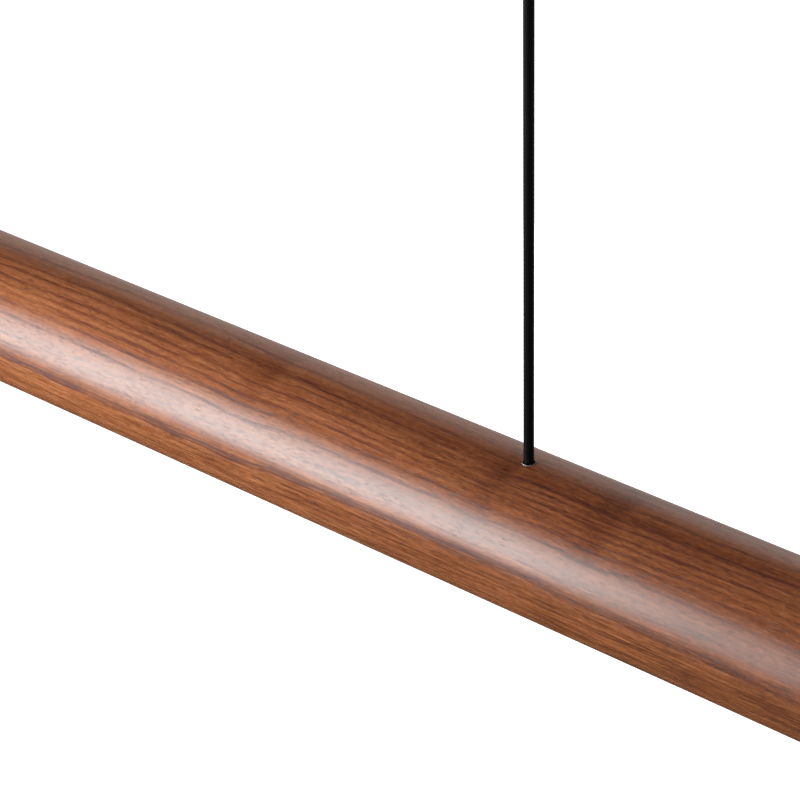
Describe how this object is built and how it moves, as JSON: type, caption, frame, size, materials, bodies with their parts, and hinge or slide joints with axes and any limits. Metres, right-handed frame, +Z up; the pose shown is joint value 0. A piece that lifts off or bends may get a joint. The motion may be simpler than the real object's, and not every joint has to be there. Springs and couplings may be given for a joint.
{
  "type": "linear pendant lamp",
  "caption": "Long round walnut tube lamp that hangs level from twin taut black cords, with a light slot underneath and round black ceiling canopies.",
  "frame": {"origin": "on the ceiling plane, midway between the two ceiling fittings", "axes": "+Z up towards the ceiling, +X along the tube, the pictured cord at +X, -Y the front"},
  "size_m": [1.2, 0.0836, 0.41],
  "materials": {
    "walnut": "satin lacquered walnut, grain along the tube",
    "cord_textile": "black braided textile sleeve",
    "nickel": "satin nickel plate",
    "black_coat": "fine black powder coat",
    "black_plastic": "black moulded nylon",
    "zinc_steel": "zinc plated steel",
    "black_screw": "blackened steel",
    "rail_aluminium": "plain anodised extrusion",
    "brass_turned": "turned brass",
    "opal": "satin opal acrylic",
    "board_white": "white coated light board",
    "chip_yellow": "yellow phosphor",
    "case_white": "white moulded plastic",
    "lead_brown": "smooth brown lead",
    "lead_red": "smooth red lead"
  },
  "bodies": {
    "ceiling": {"ceiling_strap_left": "zinc_steel", "ceiling_strap_right": "zinc_steel", "canopy_left": "black_coat", "canopy_right": "black_coat", "canopy_screws": "black_screw", "socket_cap_left": "black_coat", "socket_cap_right": "black_coat", "nipple_left": "zinc_steel", "nipple_right": "zinc_steel", "nipple_nuts": "zinc_steel", "cord_stop_left": "brass_turned", "cord_stop_right": "brass_turned", "stop_screws": "black_screw", "cord_end_left": "cord_textile", "cord_end_right": "cord_textile", "ceiling_terminal": "case_white", "ceiling_wires": "lead_brown"},
    "outlets": {"swivel_outlet_left": "black_plastic", "swivel_outlet_right": "black_plastic"},
    "cord_right": {"cord_right": "cord_textile"},
    "cord_left": {"cord_left": "cord_textile"},
    "pendant": {"wood_tube": "walnut", "end_cap_left": "walnut", "end_cap_right": "walnut", "end_cap_screws": "black_screw", "carrier_rail": "rail_aluminium", "lens": "opal", "led_board_left": "board_white", "led_board_right": "board_white", "led_chips": "chip_yellow", "board_screws": "zinc_steel", "board_link": "case_white", "led_driver": "case_white", "driver_screws": "zinc_steel", "lower_terminal": "case_white", "supply_leads": "lead_brown", "led_leads": "lead_red", "saddle_left": "zinc_steel", "saddle_right": "zinc_steel", "saddle_screws": "zinc_steel", "ferrule_left": "nickel", "ferrule_right": "nickel", "ferrule_nuts": "brass_turned", "cord_clamp_left": "brass_turned", "cord_clamp_right": "brass_turned", "clamp_screws": "black_screw", "cord_tail_left": "cord_textile", "cord_tail_right": "cord_textile"}
  },
  "joints": [
    {"name": "sway_across", "type": "hinge", "parent": "ceiling", "child": "outlets", "pos_m": [0, 0, -0.0473], "axis": [1, 0, 0], "range_deg": [-12, 12]},
    {"name": "cord_right_tilt", "type": "hinge", "parent": "outlets", "child": "cord_right", "pos_m": [0.4, 0, -0.0473], "axis": [0, 1, 0], "range_deg": [-5, 5]},
    {"name": "cord_left_tilt", "type": "hinge", "parent": "outlets", "child": "cord_left", "pos_m": [-0.4, 0, -0.0473], "axis": [0, 1, 0], "range_deg": [-5, 5]},
    {"name": "sway_along", "type": "hinge", "parent": "cord_right", "child": "pendant", "pos_m": [0.4, 0, -0.333], "axis": [0, 1, 0], "range_deg": [-5, 5]}
  ],
  "couplings": [
    {"joint": "cord_right_tilt", "follows": "sway_along", "ratio": -1},
    {"joint": "cord_left_tilt", "follows": "sway_along", "ratio": -1}
  ]
}
